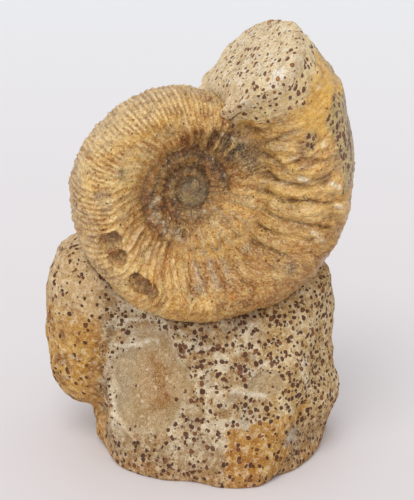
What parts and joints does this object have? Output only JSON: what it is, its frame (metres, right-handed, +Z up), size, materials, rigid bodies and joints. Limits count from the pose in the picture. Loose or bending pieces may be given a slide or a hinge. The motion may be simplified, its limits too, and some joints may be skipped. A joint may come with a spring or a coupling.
{
  "type": "fossil ammonite on matrix",
  "caption": "Coiled ribbed fossil ammonite with a wide umbilicus and a stone-filled broken mouth, standing upright on its block of iron-oolite limestone.",
  "frame": {"origin": "middle of the bounding box's foot, on the surface the block stands on", "axes": "+Z up, -Y towards the front of the specimen, +X to its right as seen in the picture"},
  "size_m": [0.1036, 0.0712, 0.1468],
  "materials": {
    "fossil_shell": "ochre calcite shell replacement, dull with small glints",
    "mouth_stone": "pale rough limestone with small brown ooids",
    "base_stone": "rough cream limestone crowded with brown ooids"
  },
  "bodies": {
    "root": {"ammonite": "fossil_shell", "mouth_matrix": "mouth_stone", "matrix_base": "base_stone"}
  },
  "joints": []
}
